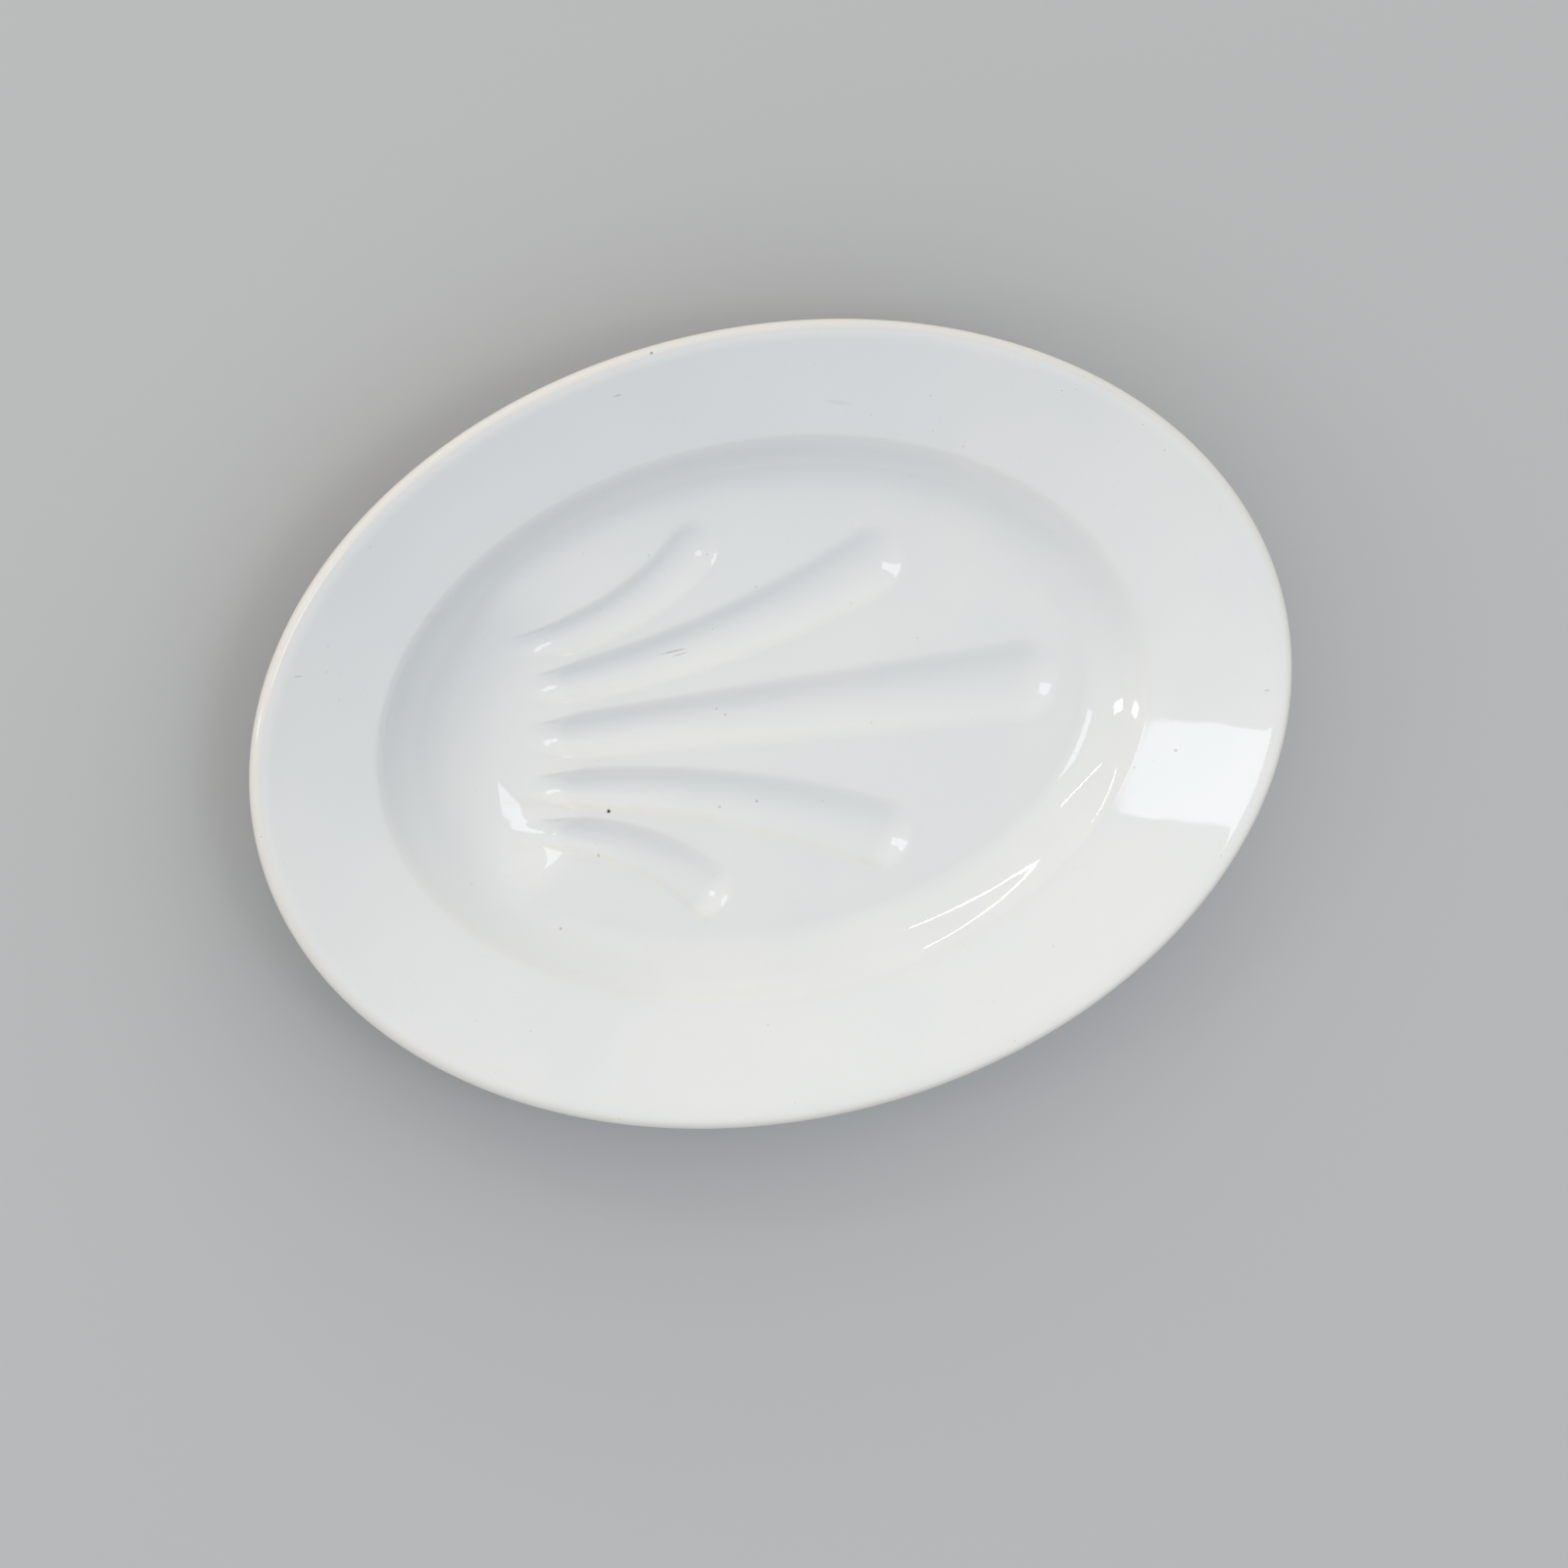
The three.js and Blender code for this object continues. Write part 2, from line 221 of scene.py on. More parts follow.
class Relief:
    """Heights of the dish's two faces over the plane that it stands on."""

    def __init__(self, form):
        self.form = form
        self.well_a = RIM_A - form.brim_at_ends
        self.well_b = RIM_B - form.brim_at_sides
        self.lip_radius = form.brim_thickness / 2
        self.tilt = math.atan(form.brim_fall / form.brim_at_ends)
        self.lip_inset = self.lip_radius * (1 + math.sin(self.tilt))
        self.lip_drop = self.lip_radius * (1 - math.cos(self.tilt))
        self.edge_inset = self.lip_radius * (1 + math.sin(EDGE_TILT))
        self.edge_drop = self.lip_radius * (1 - math.cos(EDGE_TILT))
        self.channels = [self.channel(TRUNK, 1)]
        for branch in (LONG_BRANCH, SHORT_BRANCH):
            self.channels += [self.channel(branch, 1), self.channel(branch, -1)]
        self.right_branches = self.channels[2::2]

    def channel(self, shape, side):
        """Centre line points of a channel, with its half widths."""
        path, at_well, at_tip = shape
        start, bend, end = (np.array([x, y * side]) * MM for x, y in path)
        along = np.linspace(0, 1, CHANNEL_STEPS + 1)[:, None]
        points = (1 - along) ** 2 * start + 2 * along * (1 - along) * bend + along**2 * end
        return points, at_well * MM, at_tip * MM

    def channel_depth(self, x, y, channel, spread):
        """How far a channel's bed lies below the floor; spread is the outward shift of its walls."""
        points, at_well, at_tip = channel
        nearest = np.full(x.shape, np.inf)
        along = np.zeros(x.shape)
        for i, (start, end) in enumerate(zip(points, points[1:])):
            span = end - start
            reach = ((x - start[0]) * span[0] + (y - start[1]) * span[1]) / (span @ span)
            part = np.clip(reach, 0, 1)
            distance = np.hypot(x - start[0] - part * span[0], y - start[1] - part * span[1])
            closer = distance < nearest
            nearest = np.where(closer, distance, nearest)
            along = np.where(closer, (i + part) / CHANNEL_STEPS, along)
        form = self.form
        half_width = mix(at_well, at_tip, along) + spread
        depth = mix(form.channel_depth_at_well, form.channel_depth_at_tip, along)
        trough = depth * (1 - (nearest / half_width) ** CHANNEL_FLATNESS)
        return soft_max(trough, 0 * trough, CHANNEL_EDGE_SHARE * depth)

    def well_hollow(self, x, y, spread):
        """How far the well's bed lies below the floor."""
        front = -WELL_FRONT - x
        across = WELL_CORNER - np.abs(y)
        corner = front * math.cos(WELL_CORNER_TURN) + across * math.sin(WELL_CORNER_TURN)
        inside = soft_min(front, corner, WELL_CORNER_BLEND) + spread
        bed = self.form.well_depth * (1 - (y / WELL_BED_HALF_WIDTH) ** 2)
        hollow = soft_min(self.form.well_steepness * inside, bed, WELL_BED_BLEND)
        return soft_max(hollow, 0 * hollow, WELL_EDGE_BLEND)

    def floor(self, x, y, spread):
        """Height of the floor, with the well and the channels sunk in it."""
        form = self.form
        relief = self.well_hollow(x, y, spread)
        for channel in self.channels:
            relief = deeper(relief, self.channel_depth(x, y, channel, spread), RELIEF_BLEND)
        return HEIGHT - form.floor_depth + form.floor_fall * x - relief

    def brim(self, outer, inner):
        """Height of the plain, slightly dished brim, from the distances to its two edges."""
        form = self.form
        share = (outer - self.lip_inset) / (outer - inner - self.lip_inset)
        dishing = 4 * form.brim_dishing * share * (1 - share)
        return HEIGHT - self.lip_drop - (form.brim_fall - self.lip_drop) * share - dishing

    def rounded_edge(self, outer, inner):
        """How far the brim's upper face stands over its plain line, as it turns level near the lip."""
        form = self.form
        width = outer - inner - self.lip_inset
        steep = (form.brim_fall - self.lip_drop + 4 * form.brim_dishing) / width
        start = self.lip_drop - self.edge_drop - steep * (self.lip_inset - self.edge_inset)
        rise = (steep - math.tan(EDGE_TILT)) * EDGE_WIDTH / 2
        left = fade(outer, self.edge_inset, self.edge_inset + EDGE_WIDTH)
        return (start + rise * (1 - left**2)) * (1 - (outer - self.lip_inset) / width)

    def face(self, x, y, skin):
        """Height of the upper face where skin is 0, or of the under face one skin further out."""
        form = self.form
        outer = inside_oval(x, y, RIM_A, RIM_B)
        inner = inside_oval(x, y, self.well_a, self.well_b)
        near = np.minimum(inner, form.shoulder_blend)
        if skin > 0:
            brim = self.brim(outer, near) - form.brim_thickness / math.cos(self.tilt)
        else:
            brim = self.brim(outer, near) + self.rounded_edge(outer, near)
        floor = self.floor(x, y, skin * WALL_SPREAD)
        depth = HEIGHT - form.brim_fall - floor
        share = np.maximum(1 - form.wall_steepness * inner / (2 * depth), 0)
        wall_skin = skin * np.hypot(1, form.wall_steepness * share)
        wall = floor + depth * share**2 - wall_skin
        return soft_min(brim, wall, form.shoulder_blend + skin)

    def upper(self, x, y):
        return self.face(x, y, 0)

    def under(self, x, y):
        return self.face(x, y, self.form.body_thickness)

    def hollow(self, x, y):
        """How far the upper face lies below the ring of face around it."""
        turns = [math.tau * step / HOLLOW_POINTS for step in range(HOLLOW_POINTS)]
        ring = [
            self.upper(x + HOLLOW_REACH * math.cos(turn), y + HOLLOW_REACH * math.sin(turn))
            for turn in turns
        ]
        return sum(ring) / HOLLOW_POINTS - self.upper(x, y)

    def near_outer_edge(self, x, y, channel):
        """1 on the edge of a right-hand branch that faces the side wall, fading out beside it."""
        points, at_well, at_tip = channel
        middle = np.interp(x, points[:, 0], points[:, 1])
        slope = np.interp(x, points[:, 0], np.gradient(points[:, 1], points[:, 0]))
        along = np.interp(x, points[:, 0], np.linspace(0, 1, len(points)))
        edge = middle - mix(at_well, at_tip, along) * np.hypot(1, slope)
        beside = np.exp(-(((y - edge) / GREASE_HALF_WIDTH) ** 2))
        return np.where((x > points[0, 0]) & (x < points[-1, 0]), beside, 0)


# The glaze's slow drift of tint gives at most this share of the pooled colour
DRIFT_SHARE = 0.25

# The glaze is fully pooled in a hollow of this depth, and thinnest on a ridge of this height. There it
# takes these shares of the pooled colour and of the thin one.
FULL_POOL = 0.9 * MM
POOL_SHARE = 0.12
FULL_THINNING = 0.8 * MM
RIDGE_SHARE = 1 / 8

# On the lip it takes this share of the thin colour, as the warmer tone under thin glaze and as painted
# shade that tones down the lit lip. It fades out between these distances inwards
LIP_THIN_AND_SHADE_SHARE = 0.6
LIP_SHADE_AND_THIN = 2 * MM
LIP_SHADE_AND_THIN_END = 5 * MM

# The foot is wiped bare up to this height
FOOT_FACE = 0.05 * MM

# Grains in the glaze: how far apart they lie in depth as well as across, and their size. Each is at
# full strength over this share of its radius, and takes this share of the iron's colour.
GRAIN_CORE = 0.4
GRAIN_SHARE = 0.7
SPECK_SPACING = 12 * MM
SPECK_RADIUS = 0.32 * MM
DUST_SPACING = 4 * MM
DUST_RADIUS = 0.17 * MM
PIT_SPACING = 8 * MM
PIT_RADIUS = 0.25 * MM
PIT_DEPTH = 0.05 * MM

# Breadth of the glaze's slow changes of tint, grease, wear and level
DRIFT_SIZE = 70 * MM
GREASE_PATCH = 9 * MM
WEAR_PATCH = 22 * MM
WAVE_LENGTH = 24 * MM
WAVE_HEIGHT = 0.075 * MM

# From the cleanest place beside a channel to the greasiest, and from unworn glaze to rubbed glaze
GREASE_SHARES = (0.06, 0.22)
GLAZE_ROUGHNESS = (0.03, 0.075)
GLAZE_IOR = 1.5
CLAY_ROUGHNESS = 0.75

# The real clay's sand is finer, and is drawn this coarse so that it shows
CLAY_GRAIN = 1.5 * MM

# The marks that stand out: X and Y, half length and half width in mm, turn in degrees, and strength.
# They fade out this far above and below the face.
MARK_REACH = 4 * MM
IRON_SPECKS = (
    (-71.7, -35.1, 1.1, 1, 0, 1),
    (-76.9, -54.3, 0.9, 0.9, 0, 0.3),
    (-97.6, -83.6, 0.9, 0.8, 0, 0.3),
    (-17.4, -40.4, 0.8, 0.8, 0, 0.3),
    (0.8, -40.1, 0.8, 0.8, 0, 0.4),
    (-12.6, 0.2, 0.9, 0.6, 30, 0.25),
    (-16.9, 3.4, 0.7, 0.6, 0, 0.3),
    (196.3, -36.1, 1, 0.9, 0, 0.3),
    (-60.7, 168.3, 0.9, 0.7, 20, 0.6),
)
SCRATCHES = (
    (-36, 31, 7, 0.5, 6, 0.45),
    (-33, 29.4, 4.5, 0.4, 8, 0.35),
    (-225.9, 47.8, 2.6, 0.6, -5, 0.3),
    (-74.9, 151, 2.2, 0.7, 10, 0.35),
    (237, -11.4, 1.6, 0.7, 0, 0.3),
    (33, 137, 9, 1.1, -12, 0.08),
)

# The floor's sheet and the underside's have this many cells each way, and end this far inside the
# brim's inner edge. The floor's cells are cut finer where they miss the true face by this error.
FLOOR_CELLS = 112
WALL_INSET = 32 * MM
UNDER_INSET = 40 * MM
FINE_ERROR = 0.02 * MM
WELD_DISTANCE = 0.001 * MM

# Rings join the two sheets, and lie closer where the form bends more. Above, these are their insets
# from the brim's inner edge, shares of the brim's width from the lip, and turns round the lip.
WALL_RINGS = evenly(WALL_INSET, 4.2 * MM, 25)[1:] + evenly(3.8 * MM, -4 * MM, 21)
BRIM_RINGS = evenly(0.92, 0.16, 11) + evenly(0.15, 0.068, 6)
LIP_TOP_RINGS = evenly(math.pi / 2 + EDGE_TILT, math.pi / 2, 2)
LIP_SIDE_RINGS = evenly(math.pi / 2, 0, 7)[1:]
LIP_UNDER_RINGS = 6

# Under the dish, these are where the wall's rings start, how many lie outside and inside the foot, the
# gap between them and the foot, and the rings' shares of the foot's sides and of its flat face
UNDER_WALL_START = -2 * MM
UNDER_WALL_RINGS = 14
INNER_UNDER_RINGS = 8
FOOT_GAP = 1 * MM
FOOT_SIDE_RINGS = (0, 0.3, 0.6, 0.8, 0.9)
FOOT_FACE_RINGS = (0.12, 0.25, 0.5, 0.75, 0.88)


def points_of(verts):
    return np.array([vert.co for vert in verts])


def place(verts, points):
    """Puts each vertex at its point."""
    for vert, point in zip(verts, points):
        vert.co = point


def oval_sheet(bm, half_length, half_width):
    """A square grid, drawn out into an oval whose border points have even steps of angle."""
    made = bmesh.ops.create_grid(bm, x_segments=FLOOR_CELLS, y_segments=FLOOR_CELLS, size=1)
    verts = made["verts"]
    square = points_of(verts) * math.pi / 4
    across, along = square[:, 0], square[:, 1]
    x = math.sqrt(2) * np.sin(across) * np.cos(along) * half_length
    y = math.sqrt(2) * np.sin(along) * np.cos(across) * half_width
    place(verts, np.stack([x, y, np.zeros(len(x))], axis=1))
    return verts


def settle(verts, height_of):
    """Lifts the vertices to the height of a face."""
    points = points_of(verts)
    points[:, 2] = height_of(points[:, 0], points[:, 1])
    place(verts, points)


def cut_finer(bm, height_of):
    """Cuts the cells that miss the true face by the fine error, in the same order on every run."""
    faces = list(bm.faces)
    middles = np.array([face.calc_center_median() for face in faces])
    error = np.abs(height_of(middles[:, 0], middles[:, 1]) - middles[:, 2])
    coarse = [face for face, off in zip(faces, error) if off > FINE_ERROR]
    inner = dict.fromkeys(edge for face in coarse for edge in face.edges if not edge.is_boundary)
    bmesh.ops.subdivide_edges(
        bm, edges=list(inner), cuts=1, use_grid_fill=True, use_single_edge=True
    )
    settle(list(bm.verts), height_of)


def add_ring(bm, edge, ring_at):
    """Extrudes the open edge one ring further, to where ring_at puts each angle."""
    grown = bmesh.ops.extrude_edge_only(bm, edges=edge)["geom"]
    verts = [part for part in grown if isinstance(part, bmesh.types.BMVert)]
    angle = np.array([vert[bm.verts.layers.float["turn"]] for vert in verts])
    place(verts, ring_at(np.cos(angle), np.sin(angle)))
    return [part for part in grown if isinstance(part, bmesh.types.BMEdge) and part.is_boundary]


def stations(relief):
    """The rings from the floor's edge up over the brim, round the lip and down to the underside."""
    form = relief.form

    def oval(half_length, half_width, height_of):
        def ring_at(cos, sin):
            x, y = half_length * cos, half_width * sin
            return np.stack([x, y, height_of(x, y)], axis=1)

        return ring_at

    def well_ring(inset, height_of):
        return oval(relief.well_a - inset, relief.well_b - inset, height_of)

    def brim_ring(share, height_of):
        return oval(
            RIM_A - share * form.brim_at_ends, RIM_B - share * form.brim_at_sides, height_of
        )

    def lip_ring(angle):
        inset = relief.lip_radius * (1 - math.cos(angle))
        height = HEIGHT - relief.lip_radius * (1 - math.sin(angle))
        return oval(RIM_A - inset, RIM_B - inset, lambda x, y: np.full(x.shape, height))

    def between(first, second, share):
        def ring_at(cos, sin):
            return mix(first(cos, sin), second(cos, sin), share)

        return ring_at

    def on_table(x, y):
        return np.zeros(x.shape)

    lip_under = evenly(0, -math.pi / 2 + relief.tilt, LIP_UNDER_RINGS)[1:]
    rings = [well_ring(inset, relief.upper) for inset in WALL_RINGS]
    rings += [brim_ring(share, relief.upper) for share in BRIM_RINGS]
    rings += [lip_ring(angle) for angle in LIP_TOP_RINGS + LIP_SIDE_RINGS + lip_under]
    rings += [brim_ring(share, relief.under) for share in BRIM_RINGS[::-2]]

    foot_out, foot_in = form.foot_setback, form.foot_setback + form.foot_width
    root_out, root_in = foot_out - form.foot_draft, foot_in + form.foot_draft
    under_wall = evenly(UNDER_WALL_START, root_out - FOOT_GAP, UNDER_WALL_RINGS)
    rings += [well_ring(inset, relief.under) for inset in under_wall]
    side_out, side_in = well_ring(root_out, relief.under), well_ring(root_in, relief.under)
    flat_out, flat_in = well_ring(foot_out, on_table), well_ring(foot_in, on_table)
    rings += [between(side_out, flat_out, share) for share in FOOT_SIDE_RINGS]
    rings += [between(flat_out, flat_in, share) for share in FOOT_FACE_RINGS]
    rings += [between(side_in, flat_in, share) for share in FOOT_SIDE_RINGS[::-1]]
    inner_under = evenly(root_in + FOOT_GAP, UNDER_INSET, INNER_UNDER_RINGS)
    rings += [well_ring(inset, relief.under) for inset in inner_under]
    return rings


def dish_mesh(relief):
    """The whole closed dish as a bmesh."""
    bm = bmesh.new()
    oval_sheet(bm, relief.well_a - WALL_INSET, relief.well_b - WALL_INSET)
    settle(list(bm.verts), relief.upper)
    cut_finer(bm, relief.upper)
    cut_finer(bm, relief.upper)

    turn = bm.verts.layers.float.new("turn")
    for vert in bm.verts:
        vert[turn] = math.atan2(
            vert.co.y / (relief.well_b - WALL_INSET), vert.co.x / (relief.well_a - WALL_INSET)
        )
    edge = [part for part in bm.edges if part.is_boundary]
    for ring_at in stations(relief):
        edge = add_ring(bm, edge, ring_at)

    under = oval_sheet(bm, relief.well_a - UNDER_INSET, relief.well_b - UNDER_INSET)
    settle(under, relief.under)
    bmesh.ops.remove_doubles(bm, verts=bm.verts, dist=WELD_DISTANCE)
    bmesh.ops.recalc_face_normals(bm, faces=bm.faces)
    return bm


def add_node(tree, kind, inputs=(), output=None, **settings):
    """Adds a node with its settings, and sets or links its inputs. Returns the output named, or else
    the first one in use.
    """
    node = tree.nodes.new(kind)
    for name, value in settings.items():
        setattr(node, name, value)
    for name, value in dict(inputs).items():
        socket = node.inputs[name]
        if isinstance(value, bpy.types.NodeSocket):
            tree.links.new(value, socket)
        else:
            socket.default_value = (*value, 1) if socket.type == "RGBA" else value
    if output:
        return node.outputs[output]
    return next((socket for socket in node.outputs if socket.enabled), None)


def emptied(tree):
    """Clears a node tree, and returns the function that adds nodes to it."""
    tree.nodes.clear()
    return partial(add_node, tree)


def grains(add, place, spacing, radius):
    """Sparse round grains, 1 at their middles, where the face cuts them."""
    cells = add("ShaderNodeTexVoronoi", {"Vector": place, "Scale": 1 / spacing})
    rim = radius / spacing
    return add(
        "ShaderNodeMapRange",
        {"Value": cells, "From Min": GRAIN_CORE * rim, "From Max": rim, "To Min": 1, "To Max": 0},
    )


def marks(add, place, relief, spots):
    """Oval marks on the upper face, at full strength over the inner half of each."""
    shade = 0
    for x, y, half_length, half_width, turn, strength in spots:
        height = float(relief.upper(np.array([x * MM]), np.array([y * MM]))[0])
        local = add(
            "ShaderNodeMapping",
            {
                "Vector": place,
                "Location": (x * MM, y * MM, height),
                "Rotation": (0, 0, math.radians(turn)),
                "Scale": (half_length * MM, half_width * MM, MARK_REACH),
            },
            vector_type="TEXTURE",
        )
        spot = add("ShaderNodeTexGradient", {"Vector": local}, "Fac", gradient_type="SPHERICAL")
        dark = add("ShaderNodeMapRange", {"Value": spot, "From Max": 0.5, "To Max": strength})
        shade = add("ShaderNodeMath", {0: shade, 1: dark}, operation="MAXIMUM")
    return shade


def glazed_white_earthenware(glaze, relief):
    """White earthenware, press-moulded, dipped in a clear lead glaze and fired.

    The glaze is glass: it mirrors lamps with hard edges, over a body that is plain soft white. Dipping
    leaves long shallow waves in it. It gathers in hollows, where it looks faintly blue, and thins over
    edges, where the body looks warmer; on the round lip that warmer colour is also painted shade,
    darker so that the lip looks less lit. Iron in the clay burns out as brown specks, and burst
    bubbles leave pin-holes. Use adds grey cutlery rubs, patches of wear and old grease. The foot is
    bare clay.
    """
    material = bpy.data.materials.new("glazed_white_earthenware_dipped")
    material.use_nodes = True
    add = emptied(material.node_tree)
    place = add("ShaderNodeTexCoord", output="Object")

    drift = add("ShaderNodeTexNoise", {"Vector": place, "Scale": 1 / DRIFT_SIZE})
    cooler = add(
        "ShaderNodeMapRange",
        {"Value": drift, "From Min": 0.35, "From Max": 0.65, "To Max": DRIFT_SHARE},
    )
    white = add(
        "ShaderNodeMix", {"Factor": cooler, "A": glaze.body, "B": glaze.pooled}, data_type="RGBA"
    )
    hollow = add("ShaderNodeAttribute", output="Fac", attribute_name="pooled")
    pool = add("ShaderNodeMapRange", {"Value": hollow, "To Max": POOL_SHARE})
    pooled = add("ShaderNodeMix", {"Factor": pool, "A": white, "B": glaze.pooled}, data_type="RGBA")
    # Thin glaze over ridges and the lip; on the lip the thin colour is also painted shade
    edge = add("ShaderNodeAttribute", output="Fac", attribute_name="thin_glaze_and_lip_shade")
    thin_glaze_and_lip_shade = add("ShaderNodeMix", {"Factor": edge, "A": pooled, "B": glaze.thin}, data_type="RGBA")

    patches = add("ShaderNodeTexNoise", {"Vector": place, "Scale": 1 / GREASE_PATCH})
    least, most = GREASE_SHARES
    patchy = add(
        "ShaderNodeMapRange",
        {"Value": patches, "From Min": 0.4, "From Max": 0.6, "To Min": least, "To Max": most},
    )
    beside = add("ShaderNodeAttribute", output="Fac", attribute_name="grease")
    stain = add("ShaderNodeMath", {0: beside, 1: patchy}, operation="MULTIPLY")
    greasy = add("ShaderNodeMix", {"Factor": stain, "A": thin_glaze_and_lip_shade, "B": glaze.grease}, data_type="RGBA")

    rubbed = marks(add, place, relief, SCRATCHES)
    scratched = add(
        "ShaderNodeMix", {"Factor": rubbed, "A": greasy, "B": glaze.scratch}, data_type="RGBA"
    )
    specks = grains(add, place, SPECK_SPACING, SPECK_RADIUS)
    dust = grains(add, place, DUST_SPACING, DUST_RADIUS)
    small = add("ShaderNodeMath", {0: specks, 1: dust}, operation="MAXIMUM")
    faint = add("ShaderNodeMapRange", {"Value": small, "To Max": GRAIN_SHARE})
    dusted = add("ShaderNodeMix", {"Factor": faint, "A": scratched, "B": glaze.iron}, data_type="RGBA")
    burnt = marks(add, place, relief, IRON_SPECKS)
    glazed = add("ShaderNodeMix", {"Factor": burnt, "A": dusted, "B": glaze.iron}, data_type="RGBA")

    bare = add("ShaderNodeAttribute", output="Fac", attribute_name="bare_clay")
    sand = add("ShaderNodeTexNoise", {"Vector": place, "Scale": 1 / CLAY_GRAIN, "Detail": 4})
    clay = add(
        "ShaderNodeMix",
        {"Factor": sand, "A": glaze.clay_grain, "B": glaze.bare_clay},
        data_type="RGBA",
    )
    colours = add("ShaderNodeMix", {"Factor": bare, "A": glazed, "B": clay}, data_type="RGBA")

    rubs = add("ShaderNodeTexNoise", {"Vector": place, "Scale": 1 / WEAR_PATCH, "Detail": 4})
    smooth, dull = GLAZE_ROUGHNESS
    worn = add(
        "ShaderNodeMapRange",
        {"Value": rubs, "From Min": 0.45, "From Max": 0.75, "To Min": smooth, "To Max": dull},
    )
    roughness = add(
        "ShaderNodeMix", {"Factor": bare, "A": worn, "B": CLAY_ROUGHNESS}, data_type="FLOAT"
    )

    swell = add("ShaderNodeTexNoise", {"Vector": place, "Scale": 1 / WAVE_LENGTH, "Detail": 1.5})
    waves = add("ShaderNodeBump", {"Height": swell, "Strength": 1, "Distance": WAVE_HEIGHT})
    holes = grains(add, place, PIT_SPACING, PIT_RADIUS)
    pits = add(
        "ShaderNodeBump",
        {"Height": holes, "Strength": 1, "Distance": PIT_DEPTH, "Normal": waves},
        invert=True,
    )
    shader = add(
        "ShaderNodeBsdfPrincipled",
        {"Base Color": colours, "Roughness": roughness, "IOR": GLAZE_IOR, "Normal": pits},
    )
    add("ShaderNodeOutputMaterial", {"Surface": shader})
    return material


def matt_studio_paper(light):
    """Seamless studio paper, matt and pale: it takes a soft shadow and mirrors nothing."""
    material = bpy.data.materials.new("matt_studio_paper")
    material.use_nodes = True
    add = emptied(material.node_tree)
    shader = add(
        "ShaderNodeBsdfPrincipled",
        {"Base Color": light.paper, "Roughness": 0.9, "Specular IOR Level": 0.1},
    )
    add("ShaderNodeOutputMaterial", {"Surface": shader})
    return material


def surface_attributes(mesh, relief):
    """Writes where the glaze pools, thins, gets painted shade on the lip, is stained or is missing,
    for the material to read.
    """
    points = np.empty(3 * len(mesh.vertices))
    mesh.vertices.foreach_get("co", points)
    x, y, z = points.reshape(-1, 3).T
    outer = inside_oval(x, y, RIM_A, RIM_B)
    on_upper = np.abs(relief.upper(x, y) - z) < relief.lip_radius
    depth = np.where(outer > LIP_SHADE_AND_THIN_END, relief.hollow(x, y), 0)
    # The lip's thin glaze and painted shade, full on the lip and fading inwards
    lip = fade(outer, LIP_SHADE_AND_THIN, LIP_SHADE_AND_THIN_END)
    ridge = np.where(on_upper, np.clip(-depth / FULL_THINNING, 0, 1), 0)
    grease = sum(relief.near_outer_edge(x, y, branch) for branch in relief.right_branches)
    values = {
        "pooled": np.where(on_upper, np.clip(depth / FULL_POOL, 0, 1), 0),
        "thin_glaze_and_lip_shade": np.maximum(LIP_THIN_AND_SHADE_SHARE * lip, RIDGE_SHARE * ridge),
        "grease": np.where(on_upper, np.minimum(grease, 1), 0),
        "bare_clay": (z < FOOT_FACE).astype(float),
    }
    for name, value in values.items():
        mesh.attributes.new(name, "FLOAT", "POINT").data.foreach_set("value", value)


class MEATDISH_OT_dish(bpy.types.Operator):
    """Builds the fired and glazed dish"""

    bl_idname = "meatdish.dish"
    bl_label = "Build Dish"

    def execute(self, context):
        relief = Relief(context.scene.dish_form)
        bm = dish_mesh(relief)
        mesh = bpy.data.meshes.new("glazed_dish")
        bm.to_mesh(mesh)
        bm.free()
        mesh.polygons.foreach_set("use_smooth", [True] * len(mesh.polygons))
        surface_attributes(mesh, relief)
        mesh.materials.append(glazed_white_earthenware(context.scene.dish_glaze, relief))
        dish = bpy.data.objects.new("glazed_dish", mesh)
        context.scene.collection.objects.link(dish)
        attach(dish, "root")
        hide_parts("platter")
        return {"FINISHED"}


# Half the side of the floor's square, in metres
FLOOR_REACH = 12

# The lamps face this point. Each has a direction from it, a distance, the width and height of its
# face, how bright that looks, where 1 is white, its colour, and how far it is twisted, in degrees.
DISH_CENTRE = Vector((0, 0, 0.03))
LAMPS = {
    "softbox": ((-0.09, 0.085, 0.995), 2.6, 0.68, 0.6, 3.5, "#ecf6ff", -19),
    "long_strip": ((-0.08, 0.93, 0.33), 3, 1.45, 0.055, 21, "#fff4d4", -14),
    "short_strip": ((-0.54, 0.58, 0.585), 3, 1.3, 0.045, 21, "#fff9ea", -9),
    "small_square": ((-0.86, 0.1, 0.5), 3, 0.54, 0.3, 9, "#ffffff", 0),
}

BRIGHT_SIDE = Vector((-0.59, 0.81, 0)).normalized()
WORLD_STRENGTH = 1.33

# The camera stands where it gives the photo's view of the dish, and its lens is in mm
CAMERA_PLACE = Vector((-1.0742, 0.4916, 2.3110))
CAMERA_RIGHT = Vector((0.89949, -0.03595, 0.43547))
CAMERA_VIEW = Vector((0.42011, -0.20287, -0.88451))
CAMERA_LENS = 135


def studio_floor(light):
    """The wide level floor under the dish."""
    bm = bmesh.new()
    bmesh.ops.create_grid(bm, x_segments=1, y_segments=1, size=FLOOR_REACH)
    mesh = bpy.data.meshes.new("floor")
    bm.to_mesh(mesh)
    bm.free()
    mesh.materials.append(matt_studio_paper(light))
    return bpy.data.objects.new("floor", mesh)


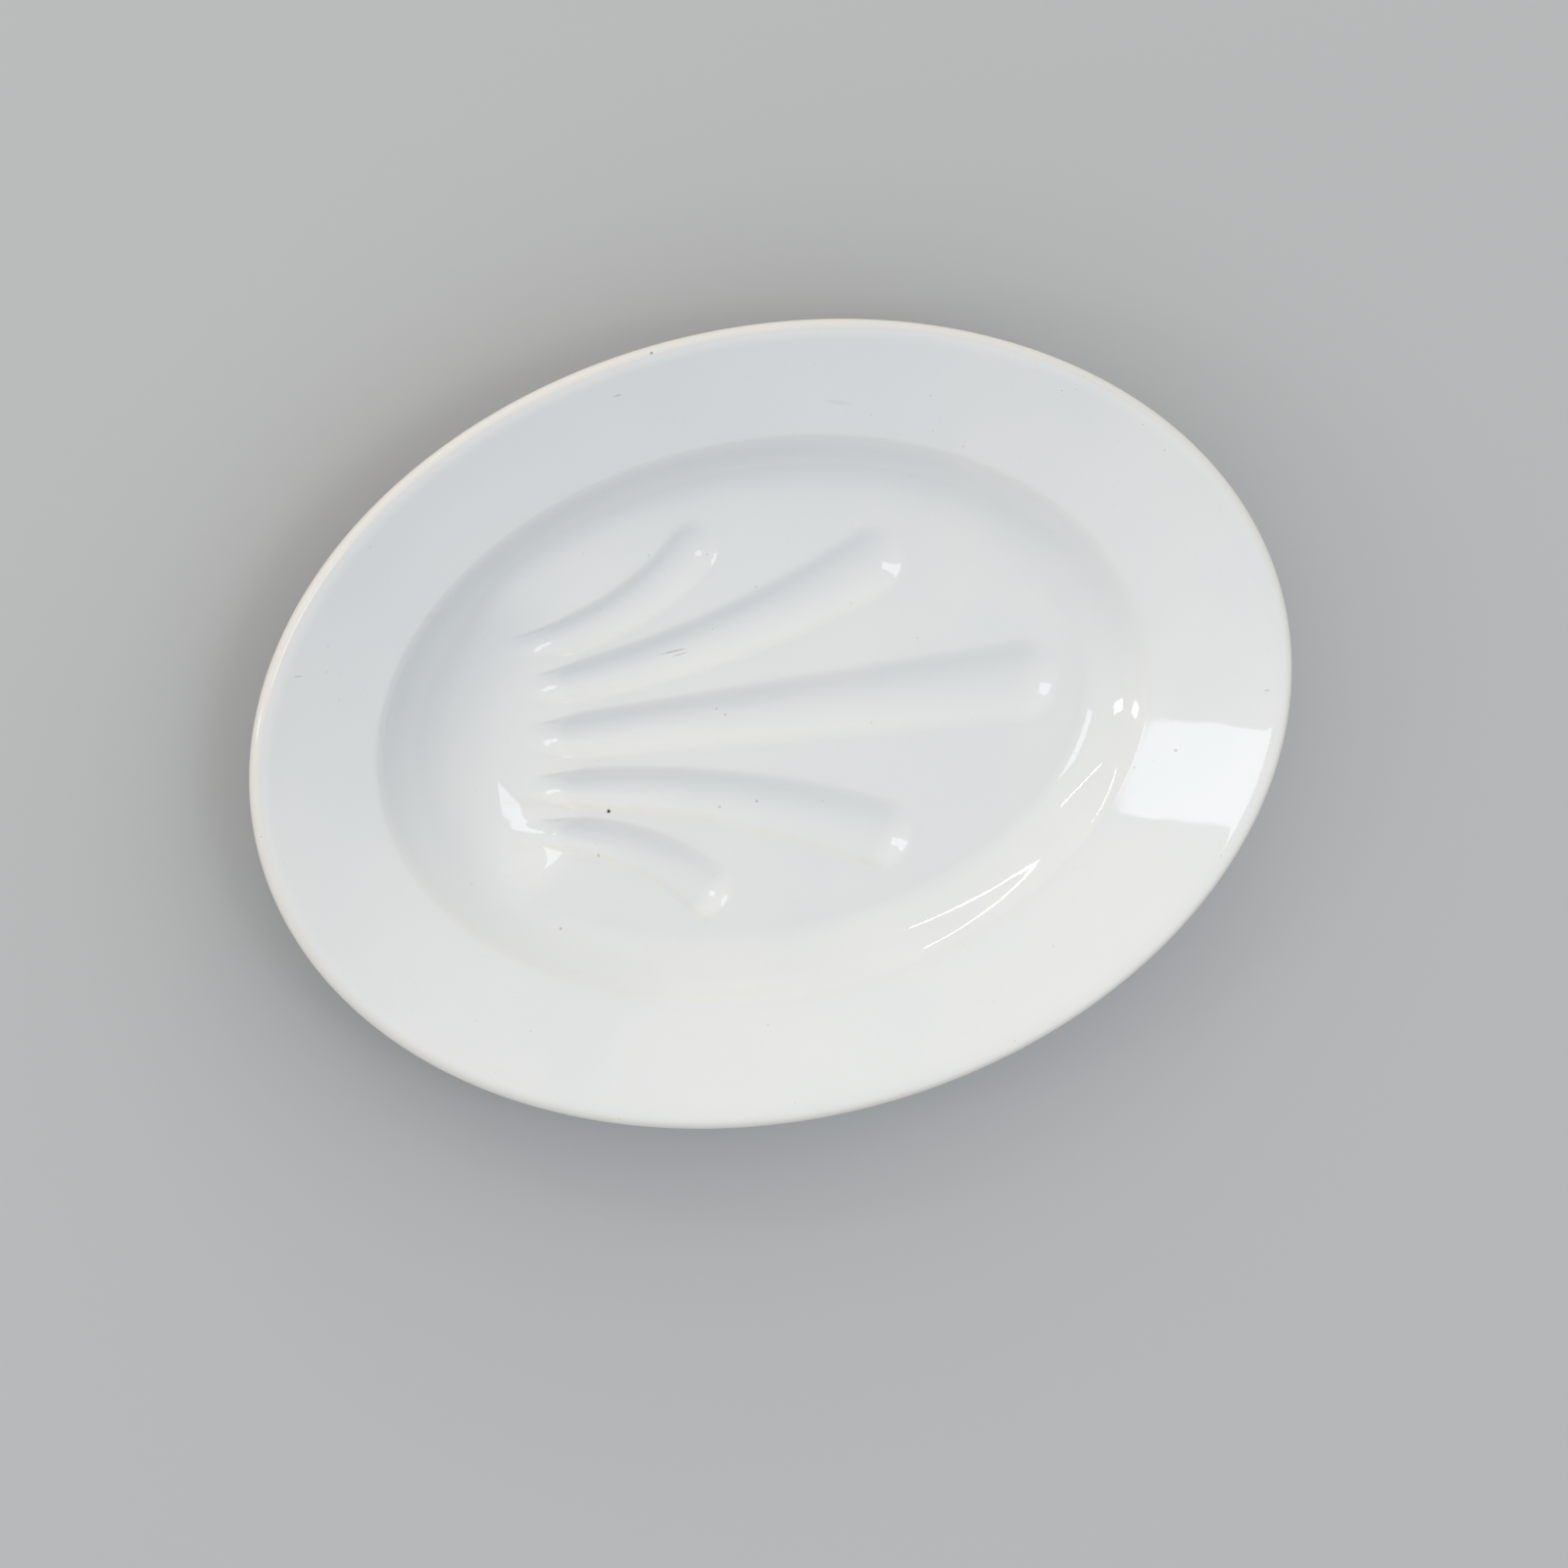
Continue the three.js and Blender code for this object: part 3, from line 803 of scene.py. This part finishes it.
def area_lamp(name, toward, distance, width, height, radiance, tint, twist):
    """A flat lamp that faces the dish."""
    data = bpy.data.lights.new(name, "AREA")
    data.shape = "RECTANGLE"
    data.size = width
    data.size_y = height
    data.energy = radiance * width * height * math.pi
    data.color = linear(tint)
    lamp = bpy.data.objects.new(name, data)
    back = Vector(toward).normalized()
    side = (Vector((1, 0, 0)) - Vector((1, 0, 0)).project(back)).normalized()
    turn = Matrix((side, back.cross(side), back)).transposed()
    turn = turn @ Matrix.Rotation(math.radians(twist), 3, "Z")
    lamp.matrix_world = Matrix.Translation(DISH_CENTRE + distance * back) @ turn.to_4x4()
    lamp.visible_camera = False
    return lamp


def light_from_all_round(light):
    """Lights the dish smoothly from a bright side to a dim one, behind a plain pale backdrop.

    The backdrop is what the camera sees past the floor, and what glossy faces mirror.
    """
    world = bpy.data.worlds.new("studio")
    world.use_nodes = True
    add = emptied(world.node_tree)
    toward = add("ShaderNodeTexCoord", output="Generated")
    lean = add("ShaderNodeVectorMath", {0: toward, 1: BRIGHT_SIDE}, operation="DOT_PRODUCT")
    share = add("ShaderNodeMapRange", {"Value": lean, "From Min": -1})
    tint = add(
        "ShaderNodeMix",
        {"Factor": share, "A": light.dim_side, "B": light.bright_side},
        data_type="RGBA",
    )
    lit = add("ShaderNodeBackground", {"Color": tint, "Strength": WORLD_STRENGTH})
    seen = add("ShaderNodeBackground", {"Color": light.backdrop, "Strength": 1})
    shown = 0
    for ray in ("Is Camera Ray", "Is Glossy Ray", "Is Transmission Ray"):
        by_ray = add("ShaderNodeLightPath", output=ray)
        shown = add("ShaderNodeMath", {0: shown, 1: by_ray}, operation="MAXIMUM")
    surface = add("ShaderNodeMixShader", {0: shown, 1: lit, 2: seen})
    add("ShaderNodeOutputWorld", {"Surface": surface})
    return world


def studio_camera():
    """The camera, turned so that its right and its view are square to each other."""
    view = CAMERA_VIEW.normalized()
    right = (CAMERA_RIGHT - CAMERA_RIGHT.project(view)).normalized()
    turn = Matrix((right, right.cross(view), -view)).transposed()
    data = bpy.data.cameras.new("camera")
    data.lens = CAMERA_LENS
    camera = bpy.data.objects.new("camera", data)
    camera.matrix_world = Matrix.Translation(CAMERA_PLACE) @ turn.to_4x4()
    return camera


class MEATDISH_OT_stage(bpy.types.Operator):
    """Builds the floor, the lamps, the world and the camera"""

    bl_idname = "meatdish.stage"
    bl_label = "Build Stage"

    def execute(self, context):
        scene = context.scene
        scene.view_settings.view_transform = "Standard"
        floor = studio_floor(scene.dish_light)
        scene.collection.objects.link(floor)

        scene.world = light_from_all_round(scene.dish_light)
        for name, lamp in LAMPS.items():
            scene.collection.objects.link(area_lamp(name, *lamp))
        camera = studio_camera()
        scene.collection.objects.link(camera)
        scene.camera = camera
        return {"FINISHED"}


class MEATDISH_PT_panel(bpy.types.Panel):
    """Lists the dish's sizes and the buttons that build it"""

    bl_idname = "MEATDISH_PT_panel"
    bl_label = "Meat Dish"
    bl_space_type = "VIEW_3D"
    bl_region_type = "UI"
    bl_category = "Meat Dish"

    def draw(self, context):
        scene = context.scene
        for group in (scene.dish_form, scene.dish_glaze, scene.dish_light):
            for name in group.__annotations__:
                self.layout.prop(group, name)
        self.layout.operator(MEATDISH_OT_dish.bl_idname)
        self.layout.operator(MEATDISH_OT_stage.bl_idname)


CLASSES = (
    DishForm,
    DishGlaze,
    StudioLight,
    MEATDISH_OT_dish,
    MEATDISH_OT_stage,
    MEATDISH_PT_panel,
)


def register():
    for cls in CLASSES:
        bpy.utils.register_class(cls)
    bpy.types.Scene.dish_form = bpy.props.PointerProperty(type=DishForm)
    bpy.types.Scene.dish_glaze = bpy.props.PointerProperty(type=DishGlaze)
    bpy.types.Scene.dish_light = bpy.props.PointerProperty(type=StudioLight)


def unregister():
    del bpy.types.Scene.dish_form
    del bpy.types.Scene.dish_glaze
    del bpy.types.Scene.dish_light
    for cls in reversed(CLASSES):
        bpy.utils.unregister_class(cls)


def main():
    register()
    bpy.ops.meatdish.dish()
    bpy.ops.meatdish.stage()


if __name__ == "__main__":
    main()
